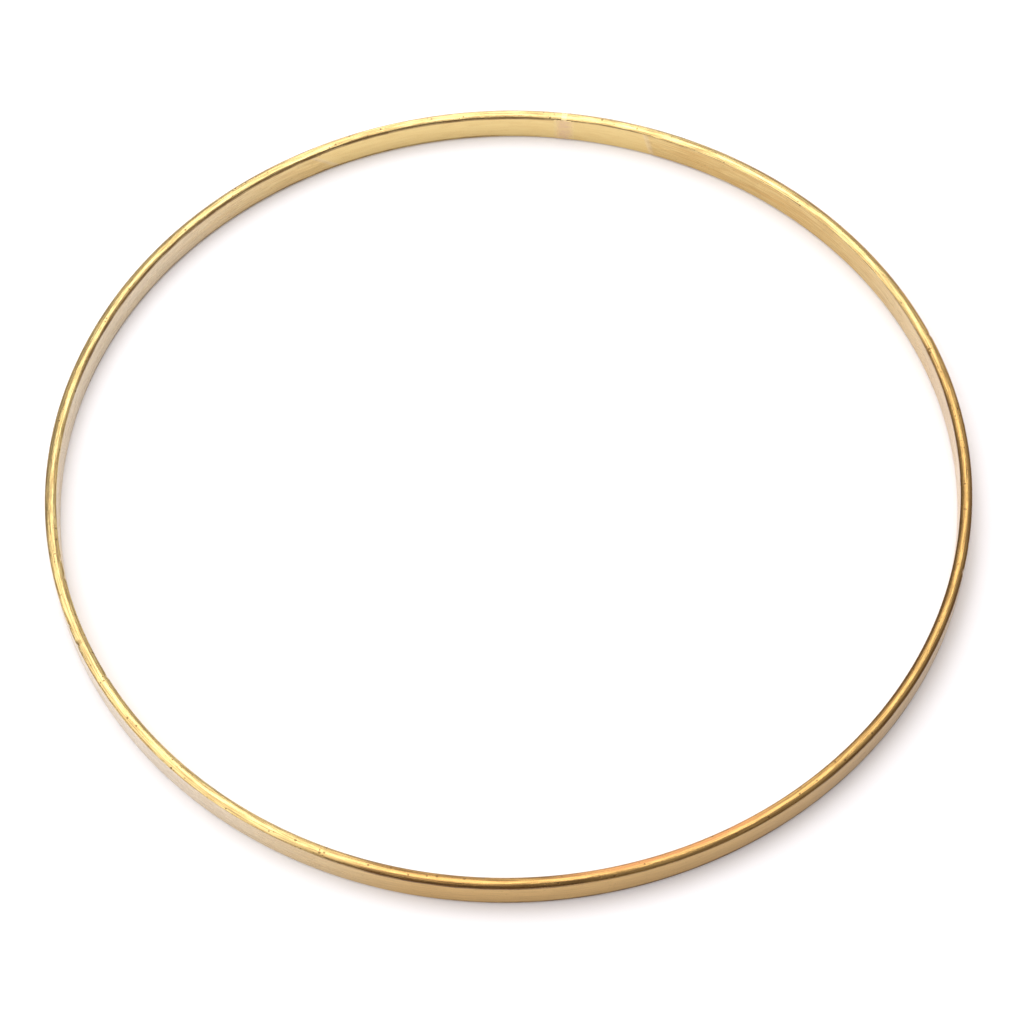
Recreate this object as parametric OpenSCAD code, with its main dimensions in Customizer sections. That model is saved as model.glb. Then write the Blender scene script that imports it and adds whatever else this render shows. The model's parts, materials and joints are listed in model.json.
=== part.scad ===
// Wreath frame: a hoop of flat bar that stands on its narrow edge, rolled to a
// circle and closed by one brazed butt joint. Millimetres, +Z up. The origin is
// the hoop's centre on the plane it rests on, and the joint is on +Y.

/* [Hoop] */
// Outside diameter of the hoop
hoop_od = 254; // [150:1:400]

/* [Bar] */
// Height of the flat bar, along the hoop's axis
bar_h = 9.5; // [8:0.5:20]
// Thickness of the flat bar, along the hoop's radius
bar_t = 3.2; // [3:0.1:6]
// Radius of the bar's four rolled edges
edge_r = 0.75; // [0.3:0.05:1.4]

/* [Joint] */
// Direction of the joint from the centre, in degrees from +X
joint_angle = 90; // [0:5:355]
// Gap between the bar's two square ends, measured at the outside
joint_gap = 1.6; // [0.5:0.1:3]
// Width of the film of brazing metal on the inside wall, across the joint
film_w = 6; // [4:0.5:12]

/* [Dressing] */
// Depth filed off the bar's inside wall around the joint, and the film's depth
dress_depth = 0.15; // [0.05:0.05:0.3]
// How far the filing runs clockwise from the joint, in degrees
dress_cw = 12.5; // [6:0.5:45]
// How far the filing runs anticlockwise from the joint, in degrees
dress_ccw = 34; // [6:0.5:45]

/* [Hidden] */
// Facets of a full turn, for the rolled edges and for the hoop itself
$fn = 48;
HOOP_FN = 720;
outer_r = hoop_od / 2;
inner_r = outer_r - bar_t;
gap_angle = joint_gap / outer_r * 180 / PI;
film_angle = film_w / inner_r * 180 / PI;
// Distance past a face that a cutting shape runs
over = 0.3;

// Turns a section through an angle around the hoop's axis
module turned(from, angle) {
    rotate(from) rotate_extrude(angle = angle, $fn = HOOP_FN) children();
}

// Section of the bar, standing at its place from the hoop's axis
module bar_section() {
    for (x = [inner_r + edge_r, outer_r - edge_r])
        for (z = [edge_r, bar_h - edge_r])
            translate([x, z]) circle(edge_r);
    translate([inner_r + edge_r, 0]) square([bar_t - 2 * edge_r, bar_h]);
    translate([inner_r, edge_r]) square([bar_t, bar_h - 2 * edge_r]);
}

// Flat bar rolled to a circle, open at the joint, its inside wall dressed there
module hoop_bar() {
    color("goldenrod")
        difference() {
            turned(joint_angle + gap_angle / 2, 360 - gap_angle) bar_section();
            turned(joint_angle - dress_cw, dress_cw + dress_ccw)
                translate([inner_r - over, -over])
                    square([over + dress_depth, bar_h + 2 * over]);
        }
}

// Brazing metal: a plug between the bar's ends, and a film on the dressed wall
module braze_joint() {
    color("tan") {
        turned(joint_angle - gap_angle / 2, gap_angle) bar_section();
        turned(joint_angle - film_angle / 2, film_angle)
            translate([inner_r, edge_r])
                square([dress_depth, bar_h - 2 * edge_r]);
    }
}

hoop_bar();
braze_joint();
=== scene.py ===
"""Wreath frame: a hoop of flat brass bar on edge, closed by a brazed joint, on a white table."""

import json
import math

import bpy
from mathutils import Matrix, Vector


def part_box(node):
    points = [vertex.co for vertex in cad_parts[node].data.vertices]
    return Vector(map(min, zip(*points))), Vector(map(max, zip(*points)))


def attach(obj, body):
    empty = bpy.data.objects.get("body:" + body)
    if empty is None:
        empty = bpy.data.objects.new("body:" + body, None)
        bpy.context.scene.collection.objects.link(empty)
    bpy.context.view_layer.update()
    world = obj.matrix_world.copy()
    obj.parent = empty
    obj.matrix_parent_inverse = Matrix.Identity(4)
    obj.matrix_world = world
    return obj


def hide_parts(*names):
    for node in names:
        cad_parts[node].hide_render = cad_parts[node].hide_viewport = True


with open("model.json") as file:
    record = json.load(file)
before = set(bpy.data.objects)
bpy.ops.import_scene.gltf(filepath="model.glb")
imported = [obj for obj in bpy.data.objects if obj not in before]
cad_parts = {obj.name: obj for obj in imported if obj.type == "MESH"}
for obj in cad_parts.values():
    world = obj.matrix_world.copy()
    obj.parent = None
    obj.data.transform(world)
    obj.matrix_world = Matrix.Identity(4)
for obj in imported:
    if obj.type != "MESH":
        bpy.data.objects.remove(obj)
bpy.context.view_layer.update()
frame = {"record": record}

bl_info = {
    "name": "Wreath Frame",
    "version": (1, 0, 0),
    "blender": (4, 5, 0),
    "location": "3D View > Sidebar > Wreath",
    "description": "Builds a brazed flat-bar brass hoop for wreaths, with its table, lights and camera",
    "category": "Add Mesh",
}

MM = 0.001
BAR_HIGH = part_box("hoop_bar")[1]
BORE = next(m for m in frame["record"]["mounts"] if m["name"] == "inner_bore")
OUTER_R = BAR_HIGH.x
INNER_R = BORE["dims"]["r_mm"] * MM
BAR_H = BAR_HIGH.z

# Directions around the hoop are degrees from +X, seen from above, and the joint is on +Y.
JOINT = 90
# The two ends of the filed stretch of the inside wall, and how far each leans per mm of height
FILED_ENDS = ((78.1, 0.13), (123.6, 0.46))
# Nicks along the bar's upper edges: direction, whether on the outside, depth and reach in mm.
# The first is also painted darker.
NICKS = (
    (-146.7, True, 0.22, 1.0),
    (-149.5, True, 0.2, 0.9),
    (-156.4, False, 0.22, 1.4),
    (-159.3, False, 0.28, 1.2),
    (-141.0, False, 0.2, 1.0),
    (-8.0, True, 0.25, 1.2),
    (28.0, True, 0.18, 1.0),
    (139.0, False, 0.16, 0.9),
)
# How far below the top of the bar a nick is struck
NICK_DROP = 0.8 * MM
# How much lower than the bar the film of brazing metal is
FILM_SHORT = 1.3 * MM
# Bumps of brazing metal along the inside corner: direction, height and reach in mm
BUMPS = ((89.1, 0.16, 0.7), (89.8, 0.1, 0.5), (90.5, 0.2, 0.6), (91.1, 0.12, 0.5))

TABLE_COLOR = (0.96, 0.93, 0.95, 1)
# Each softbox's direction and elevation in degrees, its distance and size in metres, and its radiance
SOFTBOXES = {
    "side_softbox": (199, 52, 1.1, (1.4, 1.4), 1.4),
    "top_softbox": (88, 72, 1.5, (1.1, 1.0), 1.85),
    "back_softbox": (103, 26, 1.6, (0.7, 1.3), 1.6),
}
# Direction and elevation of the room's pale wall, in degrees
PALE_WALL = (75, 60)
# Brightness of the room away from the pale wall, and at it
ROOM_LIGHT = (0.42, 0.9)


# --------------------------------------------------------------------------- settings


class WreathBarSettings(bpy.types.PropertyGroup):
    """Sizes of the rolled bar."""

    outer_r: bpy.props.FloatProperty(
        name="Outside radius", description="From the hoop's axis to the outside wall",
        default=OUTER_R, unit="LENGTH")
    inner_r: bpy.props.FloatProperty(
        name="Inside radius", description="From the hoop's axis to the inside wall",
        default=INNER_R, unit="LENGTH")
    height: bpy.props.FloatProperty(
        name="Bar height", description="Tall side of the flat bar",
        default=BAR_H, unit="LENGTH")
    crown_tilt: bpy.props.FloatProperty(
        name="Crown tilt", description="How steeply the crowned edge falls where it meets a wall",
        default=math.radians(43), subtype="ANGLE")
    corner_cut: bpy.props.FloatProperty(
        name="Corner", description="Length that the small round takes off each side of a corner",
        default=0.15 * MM, unit="LENGTH")
    steps: bpy.props.IntProperty(
        name="Steps", description="Slices around the hoop", default=1200)
    dress_depth: bpy.props.FloatProperty(
        name="Filing depth", description="Metal filed off the inside wall around the joint",
        default=0.15 * MM, unit="LENGTH")
    dress_start: bpy.props.FloatProperty(
        name="Filing start", description="Direction in which the filed stretch starts",
        default=math.radians(JOINT - 12.5), subtype="ANGLE")
    dress_end: bpy.props.FloatProperty(
        name="Filing end", description="Direction in which the filed stretch ends",
        default=math.radians(JOINT + 34), subtype="ANGLE")


class WreathJointSettings(bpy.types.PropertyGroup):
    """Sizes of the brazed joint."""

    gap: bpy.props.FloatProperty(
        name="Gap", description="Distance between the bar's two ends",
        default=1.6 * MM, unit="LENGTH")
    film_width: bpy.props.FloatProperty(
        name="Film width", description="Width of the film of brazing metal on the inside wall",
        default=7.4 * MM, unit="LENGTH")


class WreathFinishSettings(bpy.types.PropertyGroup):
    """Colours of the metals."""

    gold: bpy.props.FloatVectorProperty(
        name="Brass", description="Clean brass", size=3, subtype="COLOR", default=(0.77, 0.6, 0.275))
    # Also the colour of the painted shade on the front and right of the hoop.
    deep_gold_and_shade: bpy.props.FloatVectorProperty(
        name="Deep brass", description="Brass in the darker drawing streaks", size=3, subtype="COLOR",
        default=(0.6, 0.355, 0.115))
    # Also the colour of the painted shade along the corners, along the foot of the walls and on the
    # front and right of the rim.
    tarnish_and_shade: bpy.props.FloatVectorProperty(
        name="Tarnish", description="Brown tarnish along the edges", size=3, subtype="COLOR",
        default=(0.15, 0.075, 0.025))
    copper: bpy.props.FloatVectorProperty(
        name="Copper blush", description="Reddish brass where the zinc has gone", size=3,
        subtype="COLOR", default=(0.46, 0.2, 0.08))
    bloom: bpy.props.FloatVectorProperty(
        name="Bloom", description="Pale grey bloom on the walls", size=3, subtype="COLOR",
        default=(0.77, 0.69, 0.57))
    braze: bpy.props.FloatVectorProperty(
        name="Brazing metal", description="Pale pinkish brazing metal", size=3, subtype="COLOR",
        default=(0.67, 0.48, 0.29))


class WreathStageSettings(bpy.types.PropertyGroup):
    """The table, the lights and the camera."""

    camera_azimuth: bpy.props.FloatProperty(
        name="Camera azimuth", description="Turn of the camera around the hoop",
        default=math.radians(8.9), subtype="ANGLE")
    camera_elevation: bpy.props.FloatProperty(
        name="Camera elevation", description="Height of the camera above the table, as an angle",
        default=math.radians(57.09), subtype="ANGLE")
    camera_distance: bpy.props.FloatProperty(
        name="Camera distance", description="From the hoop's centre to the camera",
        default=0.8531, unit="LENGTH")
    camera_roll: bpy.props.FloatProperty(
        name="Camera roll", description="Turn of the camera around its own axis",
        default=math.radians(1.449), subtype="ANGLE")
    camera_pitch: bpy.props.FloatProperty(
        name="Camera pitch", description="Tilt of the camera away from the hoop's centre",
        default=math.radians(-0.49), subtype="ANGLE")
    camera_yaw: bpy.props.FloatProperty(
        name="Camera yaw", description="Sideways turn of the camera away from the hoop's centre",
        default=math.radians(-0.057), subtype="ANGLE")
    camera_lens: bpy.props.FloatProperty(
        name="Lens", description="Focal length on a 36 mm wide sensor, in millimetres",
        default=108.25)


# --------------------------------------------------------------------------- mesh helpers


def deselect_all():
    if bpy.context.object and bpy.context.object.mode != "OBJECT":
        bpy.ops.object.mode_set(mode="OBJECT")
    bpy.ops.object.select_all(action="DESELECT")


def make_active(obj):
    deselect_all()
    obj.select_set(True)
    bpy.context.view_layer.objects.active = obj


def select_points(obj, test):
    """Goes into edit mode with only the vertices that pass the test selected."""
    make_active(obj)
    bpy.ops.object.mode_set(mode="EDIT")
    bpy.ops.mesh.select_mode(type="VERT")
    bpy.ops.mesh.select_all(action="DESELECT")
    bpy.ops.object.mode_set(mode="OBJECT")
    for vertex in obj.data.vertices:
        vertex.select = test(vertex.co)
    bpy.ops.object.mode_set(mode="EDIT")


def apply_modifiers(obj):
    make_active(obj)
    for modifier in list(obj.modifiers):
        bpy.ops.object.modifier_apply(modifier=modifier.name)


def add_rectangle(radius, middle, thick, tall):
    """An upright rectangle across the bar, on the +X side of the hoop."""
    deselect_all()
    bpy.ops.mesh.primitive_plane_add(size=1, location=(radius, 0, middle), rotation=(math.pi / 2, 0, 0))
    rectangle = bpy.context.object
    rectangle.scale = (thick, tall, 1)
    bpy.ops.object.transform_apply(location=True, rotation=True, scale=True)
    return rectangle


def cut_walls(outline, tall, cuts):
    """Leaves only the outline's edges, and cuts those that are taller than this into rows of points."""
    bpy.ops.object.mode_set(mode="EDIT")
    bpy.ops.mesh.select_all(action="SELECT")
    bpy.ops.mesh.delete(type="ONLY_FACE")
    bpy.ops.mesh.select_mode(type="EDGE")
    bpy.ops.object.mode_set(mode="OBJECT")
    for edge in outline.data.edges:
        a, b = (outline.data.vertices[i].co for i in edge.vertices)
        edge.select = abs(a.z - b.z) > tall
    bpy.ops.object.mode_set(mode="EDIT")
    bpy.ops.mesh.subdivide(number_cuts=cuts)
    bpy.ops.object.mode_set(mode="OBJECT")


def drag(move, reach):
    """Moves what is selected, and its neighbours within reach less and less."""
    bpy.ops.transform.translate(
        value=move, use_proportional_edit=True, proportional_edit_falloff="SMOOTH",
        proportional_size=reach)


def on_hoop(radius, direction, height):
    """The point at this direction, in degrees, on a circle around the hoop's axis."""
    angle = math.radians(direction)
    return Vector((radius * math.cos(angle), radius * math.sin(angle), height))


# --------------------------------------------------------------------------- bar


def draw_section(bar):
    """The bar's outline, standing on the +X side of the hoop: crowned edges and flat walls."""
    half = (bar.outer_r - bar.inner_r) / 2
    slope = half / math.cos(bar.crown_tilt)
    arc = slope - bar.corner_cut
    ridge = arc / math.tan(bar.crown_tilt) * (1 / math.cos(bar.crown_tilt) - 1)
    shoulder = half * math.tan(bar.crown_tilt) - ridge
    middle = bar.height / 2
    mid_r = (bar.outer_r + bar.inner_r) / 2

    section = add_rectangle(mid_r, middle, 2 * half, bar.height - 2 * shoulder)
    # a ridge above and below, which the bevel rounds into the crown
    for side in (1, -1):
        select_points(section, lambda co: (co.z - middle) * side > 0)
        bpy.ops.mesh.subdivide(number_cuts=1)
        select_points(section, lambda co: (co.z - middle) * side > 0 and abs(co.x - mid_r) < half / 2)
        bpy.ops.transform.translate(value=(0, 0, side * (ridge + shoulder)))
    select_points(section, lambda co: abs(co.x - mid_r) > half / 2)
    bpy.ops.mesh.bevel(offset=bar.corner_cut, segments=4, affect="VERTICES")
    select_points(section, lambda co: abs(co.x - mid_r) < half / 4)
    bpy.ops.mesh.bevel(offset=arc * 0.999, segments=12, affect="VERTICES")
    # the walls get rows of points, so that they can be filed and dented
    cut_walls(section, middle, 7)
    return section


def roll_around(section, start, sweep, steps):
    """Sweeps a section anticlockwise around the hoop's axis and closes its ends, angles in radians."""
    make_active(section)
    section.rotation_euler = (0, 0, start)
    bpy.ops.object.transform_apply(location=True, rotation=True, scale=True)
    rolled = section.modifiers.new("Rolled", "SCREW")
    rolled.axis = "Z"
    rolled.angle = sweep
    rolled.steps = steps
    rolled.render_steps = steps
    rolled.use_merge_vertices = False
    apply_modifiers(section)
    bpy.ops.object.mode_set(mode="EDIT")
    bpy.ops.mesh.select_mode(type="VERT")
    bpy.ops.mesh.select_all(action="DESELECT")
    bpy.ops.mesh.select_non_manifold()
    bpy.ops.mesh.edge_face_add()
    bpy.ops.mesh.select_all(action="SELECT")
    bpy.ops.mesh.normals_make_consistent(inside=False)
    bpy.ops.object.mode_set(mode="OBJECT")
    return section


def file_inside(obj, radius, start, end, height):
    """Files the inside wall out to a radius, between two directions in radians."""
    deselect_all()
    bpy.ops.mesh.primitive_cylinder_add(
        vertices=1440, radius=radius, depth=3 * height, end_fill_type="NOTHING",
        location=(0, 0, height / 2))
    gauge = bpy.context.object
    filed = obj.vertex_groups.new(name="Filed")
    inside = [v.index for v in obj.data.vertices
              if start < math.atan2(v.co.y, v.co.x) < end and v.co.xy.length < radius]
    filed.add(inside, 1.0, "REPLACE")
    wrap = obj.modifiers.new("Filed", "SHRINKWRAP")
    wrap.target = gauge
    wrap.wrap_method = "NEAREST_SURFACEPOINT"
    wrap.wrap_mode = "OUTSIDE"
    wrap.vertex_group = "Filed"
    apply_modifiers(obj)
    obj.vertex_groups.clear()
    bpy.data.objects.remove(gauge)


def shade(obj):
    """Smooths the small corner rounds, and keeps the broad walls flat beside them."""
    make_active(obj)
    bpy.ops.object.shade_smooth_by_angle(angle=math.radians(50))
    flat = obj.modifiers.new("Flat Walls", "WEIGHTED_NORMAL")
    flat.keep_sharp = True
    apply_modifiers(obj)


def push(obj, place, move, reach):
    """Pushes the vertex nearest to a place, and its neighbours within reach less and less."""
    nearest = min(obj.data.vertices, key=lambda v: (v.co - place).length_squared).index
    target = obj.data.vertices[nearest].co.copy()
    select_points(obj, lambda co: co == target)
    drag(move, reach)
    bpy.ops.object.mode_set(mode="OBJECT")


class WREATH_OT_hoop_bar(bpy.types.Operator):
    """Rolls the flat bar into the hoop, files it around the joint and dents its edges"""

    bl_idname = "wreath.hoop_bar"
    bl_label = "Hoop Bar"

    def execute(self, context):
        bar = context.scene.wreath_bar
        gap = context.scene.wreath_joint.gap / bar.outer_r
        hoop = draw_section(bar)
        roll_around(hoop, math.radians(JOINT) + gap / 2, 2 * math.pi - gap, bar.steps)
        hoop.name = "rolled_bar"
        file_inside(hoop, bar.inner_r + bar.dress_depth, bar.dress_start, bar.dress_end, bar.height)
        for direction, outside, depth, reach in NICKS:
            radius = bar.outer_r if outside else bar.inner_r
            inward = -1 if outside else 1
            corner = on_hoop(radius, direction, bar.height - NICK_DROP)
            move = on_hoop(inward * depth * MM, direction, -0.6 * depth * MM)
            push(hoop, corner, move, reach * MM)
        shade(hoop)
        hoop.data.materials.append(brass_material(context.scene.wreath_finish))
        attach(hoop, "root")
        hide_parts("hoop_bar")
        return {"FINISHED"}


# --------------------------------------------------------------------------- joint


def make_plug(bar, joint):
    """The metal between the bar's two ends."""
    sweep = joint.gap / bar.outer_r
    start = math.radians(JOINT) - sweep / 2
    plug = draw_section(bar)
    roll_around(plug, start, sweep, 6)
    file_inside(plug, bar.inner_r + bar.dress_depth / 2, start - sweep, start + 2 * sweep, bar.height)
    return plug


def make_film(bar, joint):
    """The film on the inside wall, thick over the joint and run out to nothing at its two ends."""
    sweep = joint.film_width / bar.inner_r
    start = math.radians(JOINT) - sweep / 2
    depth = bar.dress_depth
    tall = bar.height - FILM_SHORT
    film = add_rectangle(bar.inner_r + depth / 2, bar.height / 2, depth, tall)
    cut_walls(film, tall / 2, 19)
    roll_around(film, start, sweep, 40)
    # the two ends sink into the filed wall
    for side in (-1, 1):
        select_points(film, lambda co: co.x * side > bar.inner_r * math.sin(sweep / 2) - 0.02 * MM)
        drag((0, 1.2 * depth, 0), joint.film_width * 0.35)
    bpy.ops.object.mode_set(mode="OBJECT")
    for direction, rise, reach in BUMPS:
        corner = on_hoop(bar.inner_r, direction, (bar.height + tall) / 2)
        push(film, corner, on_hoop(-rise * MM, direction, 0.5 * rise * MM), reach * MM)
    return film


class WREATH_OT_braze_joint(bpy.types.Operator):
    """Fills the gap between the bar's ends, and lays the film of brazing metal on the inside wall"""

    bl_idname = "wreath.braze_joint"
    bl_label = "Braze Joint"

    def execute(self, context):
        bar = context.scene.wreath_bar
        joint = context.scene.wreath_joint
        plug = make_plug(bar, joint)
        plug.name = "braze_metal"
        film = make_film(bar, joint)
        make_active(plug)
        film.select_set(True)
        bpy.ops.object.join()
        shade(plug)
        plug.data.materials.append(braze_material(context.scene.wreath_finish))
        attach(plug, "root")
        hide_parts("braze_joint")
        return {"FINISHED"}


# --------------------------------------------------------------------------- node helpers


def feed(tree, socket, value):
    """Links a socket to an output, or sets it to a plain value."""
    if isinstance(value, bpy.types.NodeSocket):
        tree.links.new(value, socket)
    else:
        socket.default_value = value


def math_node(tree, operation, *values):
    node = tree.nodes.new("ShaderNodeMath")
    node.operation = operation
    for socket, value in zip(node.inputs, values):
        feed(tree, socket, value)
    return node.outputs[0]


def ramp(tree, value, low, high, to_low=0.0, to_high=1.0):
    """A smooth change from one value to another while the input goes from low to high."""
    node = tree.nodes.new("ShaderNodeMapRange")
    node.interpolation_type = "SMOOTHSTEP"
    for name, number in (("Value", value), ("From Min", low), ("From Max", high),
                         ("To Min", to_low), ("To Max", to_high)):
        feed(tree, node.inputs[name], number)
    return node.outputs["Result"]


def fade(tree, mask, at_none, at_full):
    """A smooth change from one value to another while a mask goes from 0 to 1."""
    return ramp(tree, mask, 0.0, 1.0, at_none, at_full)


def opposite(tree, mask):
    return math_node(tree, "SUBTRACT", 1.0, mask)


def both(tree, *masks):
    """The product of several masks."""
    result = masks[0]
    for mask in masks[1:]:
        result = math_node(tree, "MULTIPLY", result, mask)
    return result


def either(tree, *masks):
    """The largest of several masks."""
    result = masks[0]
    for mask in masks[1:]:
        result = math_node(tree, "MAXIMUM", result, mask)
    return result


def length_of(tree, x, y):
    """The length of a flat vector."""
    x_squared = math_node(tree, "POWER", x, 2.0)
    y_squared = math_node(tree, "POWER", y, 2.0)
    return math_node(tree, "SQRT", math_node(tree, "ADD", x_squared, y_squared))


def mix_color(tree, mask, a, b):
    node = tree.nodes.new("ShaderNodeMix")
    node.data_type = "RGBA"
    feed(tree, node.inputs[0], mask)
    for socket, color in ((node.inputs[6], a), (node.inputs[7], b)):
        feed(tree, socket, color if isinstance(color, bpy.types.NodeSocket) else (*color, 1))
    return node.outputs[2]


def new_group(name, inputs, outputs):
    """A shader node group with named sockets, and its input and output sockets from the inside."""
    group = bpy.data.node_groups.new(name, "ShaderNodeTree")
    for label, kind in inputs:
        group.interface.new_socket(name=label, in_out="INPUT", socket_type="NodeSocket" + kind)
    for label, kind in outputs:
        group.interface.new_socket(name=label, in_out="OUTPUT", socket_type="NodeSocket" + kind)
    entry = group.nodes.new("NodeGroupInput")
    leave = group.nodes.new("NodeGroupOutput")
    return group, entry.outputs, leave.inputs


def place_group(tree, name, **values):
    """Puts one of the shared groups into a tree, and returns its outputs."""
    node = tree.nodes.new("ShaderNodeGroup")
    node.node_tree = bpy.data.node_groups.get(name) or SHARED_GROUPS[name]()
    for label, value in values.items():
        feed(tree, node.inputs[label.replace("_", " ")], value)
    return node.outputs


# --------------------------------------------------------------------------- shared effects


def make_hoop_coordinates():
    """Places in millimetres, along the hoop, out from its axis and up, and the direction in degrees."""
    group, _, leave = new_group("Hoop Coordinates", (), (
        ("Unrolled", "Vector"), ("Direction", "Float"), ("Radius", "Float"), ("Height", "Float")))
    place = group.nodes.new("ShaderNodeTexCoord").outputs["Object"]
    parts = group.nodes.new("ShaderNodeSeparateXYZ")
    group.links.new(place, parts.inputs[0])
    x, y, z = (math_node(group, "DIVIDE", parts.outputs[i], MM) for i in range(3))
    direction = math_node(group, "DEGREES", math_node(group, "ARCTAN2", y, x))
    # the jump of this angle lies on +Y, inside the joint
    turn = math_node(group, "ARCTAN2", x, math_node(group, "MULTIPLY", y, -1.0))
    along = math_node(group, "MULTIPLY", turn, OUTER_R / MM)
    radius = length_of(group, x, y)
    unrolled = group.nodes.new("ShaderNodeCombineXYZ")
    for socket, value in zip(unrolled.inputs, (along, radius, z)):
        feed(group, socket, value)
    for socket, value in zip(leave, (unrolled.outputs[0], direction, radius, z)):
        feed(group, socket, value)
    return group


def make_arc_mask():
    """1 within a stretch of the hoop, given by its middle and half its length in degrees."""
    group, entry, leave = new_group("Arc Mask", (
        ("Direction", "Float"), ("Middle", "Float"), ("Half", "Float"), ("Soft", "Float")),
        (("Mask", "Float"),))
    off = math_node(group, "SUBTRACT", entry["Direction"], entry["Middle"])
    off = math_node(group, "ABSOLUTE", math_node(group, "WRAP", off, 180.0, -180.0))
    low = math_node(group, "SUBTRACT", entry["Half"], entry["Soft"])
    high = math_node(group, "ADD", entry["Half"], entry["Soft"])
    feed(group, leave["Mask"], ramp(group, off, low, high, 1.0, 0.0))
    return group


def make_line_mask():
    """1 near a line that runs around the hoop at a radius and a height, in millimetres."""
    group, entry, leave = new_group("Line Mask", (
        ("Radius", "Float"), ("Height", "Float"), ("Line Radius", "Float"), ("Line Height", "Float"),
        ("Reach", "Float")), (("Mask", "Float"),))
    out = math_node(group, "SUBTRACT", entry["Radius"], entry["Line Radius"])
    up = math_node(group, "SUBTRACT", entry["Height"], entry["Line Height"])
    near = math_node(group, "MULTIPLY", entry["Reach"], 0.45)
    feed(group, leave["Mask"], ramp(group, length_of(group, out, up), near, entry["Reach"], 1.0, 0.0))
    return group


def make_drawn_streaks():
    """Uneven streaks that run along the bar, with their length and width in millimetres."""
    group, entry, leave = new_group("Drawn Streaks", (
        ("Unrolled", "Vector"), ("Length", "Float"), ("Width", "Float"), ("Shift", "Float")),
        (("Mask", "Float"), ("Height", "Float")))
    parts = group.nodes.new("ShaderNodeSeparateXYZ")
    group.links.new(entry["Unrolled"], parts.inputs[0])
    scaled = group.nodes.new("ShaderNodeCombineXYZ")
    along = math_node(group, "DIVIDE", parts.outputs[0], entry["Length"])
    feed(group, scaled.inputs[0], math_node(group, "ADD", along, entry["Shift"]))
    feed(group, scaled.inputs[1], math_node(group, "DIVIDE", parts.outputs[1], entry["Width"]))
    feed(group, scaled.inputs[2], math_node(group, "DIVIDE", parts.outputs[2], entry["Width"]))
    noise = group.nodes.new("ShaderNodeTexNoise")
    noise.inputs["Scale"].default_value = 1.0
    noise.inputs["Detail"].default_value = 3.0
    noise.inputs["Roughness"].default_value = 0.6
    group.links.new(scaled.outputs[0], noise.inputs["Vector"])
    feed(group, leave["Mask"], ramp(group, noise.outputs["Fac"], 0.36, 0.66))
    feed(group, leave["Height"], noise.outputs["Fac"])
    return group


def make_pits():
    """Small round pits of uneven size, scattered with a spacing in millimetres."""
    group, entry, leave = new_group("Pits", (
        ("Unrolled", "Vector"), ("Spacing", "Float"), ("Size", "Float")), (("Mask", "Float"),))
    cells = group.nodes.new("ShaderNodeTexVoronoi")
    group.links.new(entry["Unrolled"], cells.inputs["Vector"])
    feed(group, cells.inputs["Scale"], math_node(group, "DIVIDE", 1.0, entry["Spacing"]))
    chance = group.nodes.new("ShaderNodeSeparateColor")
    group.links.new(cells.outputs["Color"], chance.inputs[0])
    # most cells have no pit, and the rest have one of their own size
    size = math_node(group, "MULTIPLY", entry["Size"], ramp(group, chance.outputs[0], 0.55, 1.0))
    size = math_node(group, "DIVIDE", size, entry["Spacing"])
    inner = math_node(group, "MULTIPLY", size, 0.5)
    size = math_node(group, "ADD", size, 0.0001)
    feed(group, leave["Mask"], ramp(group, cells.outputs["Distance"], inner, size, 1.0, 0.0))
    return group


SHARED_GROUPS = {
    "Hoop Coordinates": make_hoop_coordinates,
    "Arc Mask": make_arc_mask,
    "Line Mask": make_line_mask,
    "Drawn Streaks": make_drawn_streaks,
    "Pits": make_pits,
}


# --------------------------------------------------------------------------- metals


def new_material(name):
    material = bpy.data.materials.new(name)
    material.use_nodes = True
    tree = material.node_tree
    return material, tree, tree.nodes["Principled BSDF"]


def add_bump(tree, height, distance, normal=None):
    """A bump whose height is in millimetres when the input goes from 0 to 1."""
    node = tree.nodes.new("ShaderNodeBump")
    node.inputs["Distance"].default_value = distance * MM
    feed(tree, node.inputs["Height"], height)
    if normal:
        feed(tree, node.inputs["Normal"], normal)
    return node.outputs["Normal"]


class HoopPlaces:
    """Masks at places on the hoop, for one material. Directions are in degrees, lengths in mm."""

    inner, outer, top = INNER_R / MM, OUTER_R / MM, BAR_H / MM
    middle = (inner + outer) / 2

    def __init__(self, tree):
        self.tree = tree
        hoop = place_group(tree, "Hoop Coordinates")
        self.unrolled, self.direction = hoop["Unrolled"], hoop["Direction"]
        self.radius, self.height = hoop["Radius"], hoop["Height"]

    def arc(self, middle, half, soft):
        """A stretch of the hoop, by its middle, half its length and how soft its ends are."""
        return place_group(self.tree, "Arc Mask", Direction=self.direction,
                           Middle=middle, Half=half, Soft=soft)[0]

    def line(self, radius, height, reach):
        """A line that runs all around the hoop."""
        return place_group(self.tree, "Line Mask", Radius=self.radius, Height=self.height,
                           Line_Radius=radius, Line_Height=height, Reach=reach)[0]

    def streaks(self, length, width, shift=0.0):
        """Streaks along the bar. The shift makes one set unlike another."""
        return place_group(self.tree, "Drawn Streaks", Unrolled=self.unrolled,
                           Length=length, Width=width, Shift=shift)


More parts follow.
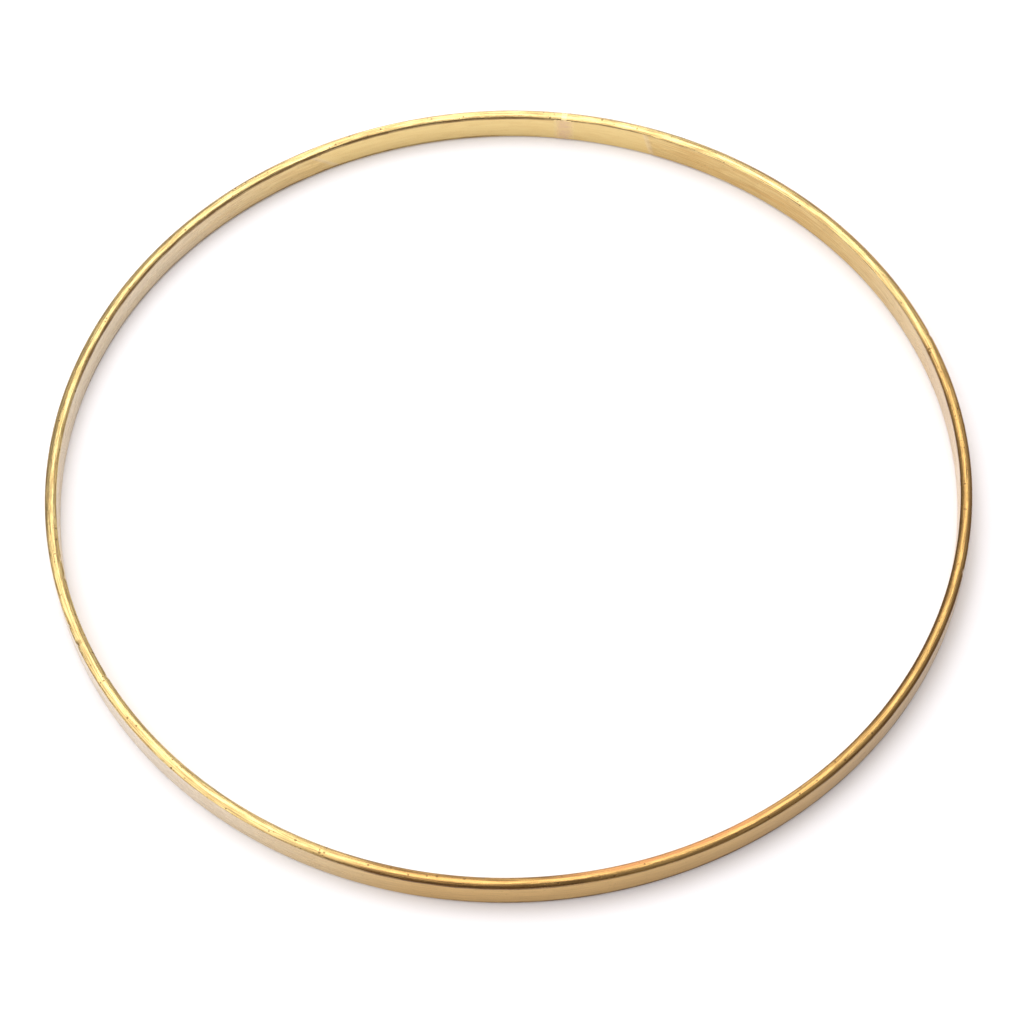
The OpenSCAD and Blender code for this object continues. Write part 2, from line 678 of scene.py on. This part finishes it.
class BarPlaces(HoopPlaces):
    """The bar's walls and rim, its filed stretch and its sets of streaks."""

    def __init__(self, tree):
        super().__init__(tree)
        self.wall = ramp(tree, self.height, self.top - 0.95, self.top - 0.6, 1.0, 0.0)
        self.rim = opposite(tree, self.wall)
        self.outside = ramp(tree, self.radius, self.middle - 0.6, self.middle + 0.6)
        self.inside = opposite(tree, self.outside)
        self.fine = self.streaks(16.0, 0.42)
        self.broad = self.streaks(18.0, 1.5, 7.0)
        self.clouds = self.streaks(6.0, 1.1, 3.0)
        self.scores = self.streaks(9.0, 0.33, 5.0)
        self.find_filing()

    def find_filing(self):
        """The file was held aslant, so both ends of the filed stretch lean."""
        tree = self.tree
        filed = both(tree, self.inside, self.wall)
        ends = 0.0
        for side, (end, lean) in zip((1, -1), FILED_ENDS):
            up = math_node(tree, "SUBTRACT", self.height, self.top / 2)
            leaning = math_node(tree, "SUBTRACT", self.direction, math_node(tree, "MULTIPLY", up, lean))
            past = math_node(tree, "MULTIPLY", math_node(tree, "SUBTRACT", leaning, end), side)
            filed = both(tree, filed, ramp(tree, past, -0.1, 0.3))
            near = ramp(tree, math_node(tree, "ABSOLUTE", past), 0.15, 0.6, 1.0, 0.0)
            ends = math_node(tree, "MAXIMUM", near, ends)
        self.unfiled = opposite(tree, filed)
        self.file_ends = both(tree, ends, self.inside, self.wall, 0.22)


def deep_gold_and_shade_mask(tree, bar):
    """Deeper gold as painted shade at the front and right, and in the drawing streaks and in soft
    clouds.
    """
    # painted shade: deeper gold over the front and right, where less light falls, a little more on the
    # rim than on the walls
    front = both(tree, bar.arc(-37.0, 67.0, 14.0), fade(tree, bar.rim, 0.7, 0.9))
    orange = both(tree, bar.line(bar.outer - 0.3, bar.top - 0.3, 0.9), bar.arc(34.0, 34.0, 8.0))
    drawn = both(tree, bar.fine["Mask"], fade(tree, bar.unfiled, 0.15, 0.5))
    cloudy = both(tree, bar.clouds["Mask"], fade(tree, bar.unfiled, 0.2, 0.45))
    beside_filing = both(tree, bar.arc(60.0, 18.0, 8.0), bar.inside, bar.wall,
                         fade(tree, bar.fine["Mask"], 0.15, 0.7))
    return either(tree, front, orange, drawn, cloudy, beside_filing)


def bloom_mask(tree, bar):
    """A grey bloom on the walls, strongest outside at the left and front."""
    bloom = either(
        tree,
        both(tree, bar.arc(-142.0, 30.0, 22.0), bar.outside, 0.95),
        both(tree, bar.arc(168.0, 28.0, 20.0), bar.inside, 0.7),
        both(tree, bar.arc(14.0, 20.0, 16.0), bar.inside, 0.5))
    return both(tree, bloom, bar.wall, fade(tree, bar.broad["Mask"], 1.0, 0.8))


def front_rim_shade_and_scores_mask(tree, bar):
    """Painted shade on the front and right of the rim, left out along the top of the crown as a painted
    highlight, and scores all around.
    """
    # painted highlight: a line along the top of the crown where the painted shade is left out
    crown_top_highlight = bar.line(bar.middle + 0.15, bar.top, 0.65)
    # painted shade on the front and right of the rim
    front_rim_shade = either(tree, both(tree, bar.arc(-48.0, 60.0, 14.0), 0.75), bar.arc(-86.0, 18.0, 10.0))
    front_rim_shade = both(tree, front_rim_shade, bar.rim, fade(tree, crown_top_highlight, 1.0, 0.3),
                   fade(tree, bar.fine["Mask"], 0.6, 1.0))
    scores = both(tree, bar.scores["Mask"], bar.unfiled, fade(tree, bar.rim, 0.2, 0.62))
    return either(tree, front_rim_shade, scores)


def corner_shade_and_tarnish_mask(tree, bar):
    """Painted shade in ragged stretches, mixed with tarnish: painted reflections of the dim room along
    the corners and painted contact shadow along the foot of the walls, and a darker mark in the first
    nick.
    """
    inner, outer, corner = bar.inner, bar.outer, bar.top - 0.75
    # height of the painted contact shadow along the foot of the walls
    foot = 0.85
    # the line's radius, height and reach, then its stretch's middle, half and softness, and its strength
    # the lines at the corners are painted reflections of the dim room, and the two at the foot are
    # painted contact shadow
    lines = (
        ((inner, corner + 0.1, 0.75), (133.0, 42.0, 6.0), 0.85),
        ((inner, corner + 0.1, 0.8), (-3.0, 34.0, 10.0), 1.0),
        ((inner + 0.2, corner + 0.4, 0.95), (-23.0, 14.0, 8.0), 1.0),
        ((outer, corner + 0.2, 0.95), (-88.0, 14.0, 8.0), 1.0),
        ((outer, corner + 0.1, 0.6), (-66.0, 36.0, 9.0), 0.45),
        ((outer - 0.05, corner + 0.2, 0.85), (-13.0, 33.0, 9.0), 1.0),
        ((outer - 0.05, corner + 0.1, 0.5), (161.0, 36.0, 8.0), 0.8),
        ((outer, foot, 0.65), (-54.0, 34.0, 14.0), 1.0),
        ((inner, foot, 0.5), (136.0, 40.0, 10.0), 0.7),
    )
    corner_shade_and_tarnish = both(tree, bar.arc(NICKS[0][0], 0.3, 0.2), bar.rim, bar.outside, 0.6)
    for place, stretch, strength in lines:
        corner_shade_and_tarnish = either(tree, corner_shade_and_tarnish, both(tree, bar.line(*place), bar.arc(*stretch), strength))
    return both(tree, corner_shade_and_tarnish, fade(tree, bar.clouds["Mask"], 0.7, 1.0))


def brass_material(finish):
    """Drawn brass with streaks, painted shade mixed with tarnish along the corner lines and the foot,
    painted shade on the front and right with a painted highlight along the top of the crown, a grey
    bloom and a coppery stretch.
    """
    material, tree, shader = new_material("Drawn Brass")
    bar = BarPlaces(tree)
    tarnish_and_shade = tuple(finish.tarnish_and_shade)
    bloom = bloom_mask(tree, bar)
    copper = both(tree, bar.arc(-63.0, 12.0, 4.0), bar.inside, bar.rim,
                  fade(tree, bar.clouds["Mask"], 0.5, 1.0), 0.85)
    corner_shade_and_tarnish = corner_shade_and_tarnish_mask(tree, bar)
    pits = place_group(tree, "Pits", Unrolled=bar.unrolled, Spacing=1.2, Size=0.42)[0]
    pits = both(tree, pits, bar.unfiled, fade(tree, bar.rim, 0.15, 0.75))

    # deeper gold in the streaks, and as painted shade at the front and right
    color = mix_color(tree, deep_gold_and_shade_mask(tree, bar), tuple(finish.gold), tuple(finish.deep_gold_and_shade))
    color = mix_color(tree, either(tree, bloom, bar.file_ends), color, tuple(finish.bloom))
    # painted shade on the front and right of the rim, with a painted highlight along the top of the
    # crown, and scores
    color = mix_color(tree, front_rim_shade_and_scores_mask(tree, bar), color, tarnish_and_shade)
    color = mix_color(tree, copper, color, tuple(finish.copper))
    # painted shade along the corners and the foot of the walls, mixed with tarnish
    color = mix_color(tree, corner_shade_and_tarnish, color, tarnish_and_shade)
    color = mix_color(tree, pits, color, tarnish_and_shade)
    feed(tree, shader.inputs["Base Color"], color)
    shader.inputs["Metallic"].default_value = 1.0

    rough = fade(tree, bar.clouds["Mask"], 0.14, 0.26)
    rough = math_node(tree, "ADD", rough, both(tree, either(tree, corner_shade_and_tarnish, bloom), 0.12))
    feed(tree, shader.inputs["Roughness"], rough)

    # the walls are smoother than the rim
    peel = both(tree, bar.streaks(2.2, 0.5)["Height"], fade(tree, bar.wall, 1.0, 0.08))
    drawing = both(tree, bar.fine["Height"], fade(tree, bar.wall, 1.0, 0.2))
    normal = add_bump(tree, peel, 0.05)
    normal = add_bump(tree, drawing, 0.06, normal)
    normal = add_bump(tree, opposite(tree, pits), 0.05, normal)
    feed(tree, shader.inputs["Normal"], normal)
    return material


def braze_material(finish):
    """Pale pinkish brazing metal, filed smooth, that runs out into the colour of the brass."""
    material, tree, shader = new_material("Brazing Metal")
    hoop = HoopPlaces(tree)
    pale = both(tree, hoop.arc(JOINT, 0.95, 0.75),
                fade(tree, hoop.streaks(1.6, 0.9, 1.0)["Mask"], 1.0, 0.6),
                ramp(tree, hoop.height, hoop.top - 0.9, hoop.top - 0.5, 1.0, 0.5))
    color = mix_color(tree, pale, tuple(finish.gold), tuple(finish.braze))
    feed(tree, shader.inputs["Base Color"], color)
    shader.inputs["Metallic"].default_value = 1.0
    feed(tree, shader.inputs["Roughness"], fade(tree, pale, 0.25, 0.32))
    return material


# --------------------------------------------------------------------------- stage


class WREATH_OT_stage(bpy.types.Operator):
    """Lays the white table, and sets the lights and the camera"""

    bl_idname = "wreath.stage"
    bl_label = "Table, Light and Camera"

    def execute(self, context):
        scene = context.scene
        deselect_all()
        bpy.ops.mesh.primitive_plane_add(size=8, location=(0, 0, 0))
        table = context.object
        table.name = "white_table"
        paper, _, shader = new_material("White Table")
        shader.inputs["Base Color"].default_value = TABLE_COLOR
        shader.inputs["Roughness"].default_value = 0.9
        table.data.materials.append(paper)
        make_world(scene)
        for name, values in SOFTBOXES.items():
            make_softbox(name, *values)
        make_camera(scene, scene.wreath_stage)
        scene.view_settings.view_transform = "Standard"
        return {"FINISHED"}


def toward(direction, elevation):
    """The unit vector with this direction and elevation, in degrees."""
    rise = math.radians(elevation)
    return on_hoop(math.cos(rise), direction, math.sin(rise))


def make_world(scene):
    """A dim room that is pale high up behind the table, and that the camera sees as white."""
    world = bpy.data.worlds.new("Studio")
    scene.world = world
    world.use_nodes = True
    tree = world.node_tree
    background = tree.nodes["Background"]
    background.inputs["Color"].default_value = (1, 1, 1, 1)
    away = tree.nodes.new("ShaderNodeTexCoord").outputs["Generated"]
    toward_wall = tree.nodes.new("ShaderNodeVectorMath")
    toward_wall.operation = "DOT_PRODUCT"
    tree.links.new(away, toward_wall.inputs[0])
    toward_wall.inputs[1].default_value = toward(*PALE_WALL)
    room = ramp(tree, toward_wall.outputs["Value"], 0.2, 1.0, *ROOM_LIGHT)
    seen = tree.nodes.new("ShaderNodeLightPath").outputs["Is Camera Ray"]
    feed(tree, background.inputs["Strength"], math_node(tree, "MAXIMUM", room, seen))


def make_softbox(name, direction, elevation, distance, size, radiance):
    """A rectangular softbox aimed at the hoop."""
    place = distance * toward(direction, elevation)
    deselect_all()
    bpy.ops.object.light_add(type="AREA", location=place)
    lamp = bpy.context.object
    lamp.name = name
    lamp.rotation_euler = place.to_track_quat("Z", "Y").to_euler()
    lamp.data.shape = "RECTANGLE"
    lamp.data.size, lamp.data.size_y = size
    lamp.data.energy = radiance * math.pi * size[0] * size[1]
    lamp.visible_camera = False


def turned(a, b, angle):
    """Two square directions, turned by an angle in their plane, from the first towards the second."""
    return a * math.cos(angle) + b * math.sin(angle), b * math.cos(angle) - a * math.sin(angle)


def make_camera(scene, stage):
    """A camera that looks at the middle of the hoop, apart from a small turn about its own axes."""
    el, az = stage.camera_elevation, stage.camera_azimuth
    back = Vector((math.sin(az) * math.cos(el), -math.cos(az) * math.cos(el), math.sin(el)))
    ahead = -back
    right = Vector((math.cos(az), math.sin(az), 0))
    up = right.cross(ahead)
    right, ahead = turned(right, ahead, stage.camera_yaw)
    up, ahead = turned(up, ahead, -stage.camera_pitch)
    right, up = turned(right, up, -stage.camera_roll)
    camera_data = bpy.data.cameras.new("camera")
    camera = bpy.data.objects.new("camera", camera_data)
    scene.collection.objects.link(camera)
    turn = Matrix((right, up, -ahead)).transposed()
    camera.matrix_world = Matrix.Translation(back * stage.camera_distance) @ turn.to_4x4()
    camera_data.sensor_width = 36
    camera_data.lens = stage.camera_lens
    camera_data.clip_start = 0.01
    camera_data.clip_end = 50
    scene.camera = camera


# --------------------------------------------------------------------------- add-on


class WREATH_PT_build(bpy.types.Panel):
    """Builds the wreath frame piece by piece"""

    bl_idname = "WREATH_PT_build"
    bl_label = "Wreath Frame"
    bl_space_type = "VIEW_3D"
    bl_region_type = "UI"
    bl_category = "Wreath"

    def draw(self, context):
        for operator, groups in BUILDS.items():
            box = self.layout.box()
            for group in groups:
                settings = getattr(context.scene, group)
                for name in settings.__annotations__:
                    box.prop(settings, name)
            box.operator(operator)


SETTINGS = {
    "wreath_bar": WreathBarSettings,
    "wreath_joint": WreathJointSettings,
    "wreath_finish": WreathFinishSettings,
    "wreath_stage": WreathStageSettings,
}
BUILDS = {
    "wreath.hoop_bar": ("wreath_bar", "wreath_finish"),
    "wreath.braze_joint": ("wreath_joint",),
    "wreath.stage": ("wreath_stage",),
}
CLASSES = (
    *SETTINGS.values(), WREATH_OT_hoop_bar, WREATH_OT_braze_joint, WREATH_OT_stage, WREATH_PT_build)


def register():
    for cls in CLASSES:
        bpy.utils.register_class(cls)
    for name, cls in SETTINGS.items():
        setattr(bpy.types.Scene, name, bpy.props.PointerProperty(type=cls))


def unregister():
    for name in SETTINGS:
        delattr(bpy.types.Scene, name)
    for cls in reversed(CLASSES):
        bpy.utils.unregister_class(cls)


def main():
    register()
    bpy.ops.wreath.hoop_bar()
    bpy.ops.wreath.braze_joint()
    bpy.ops.wreath.stage()


if __name__ == "__main__":
    main()
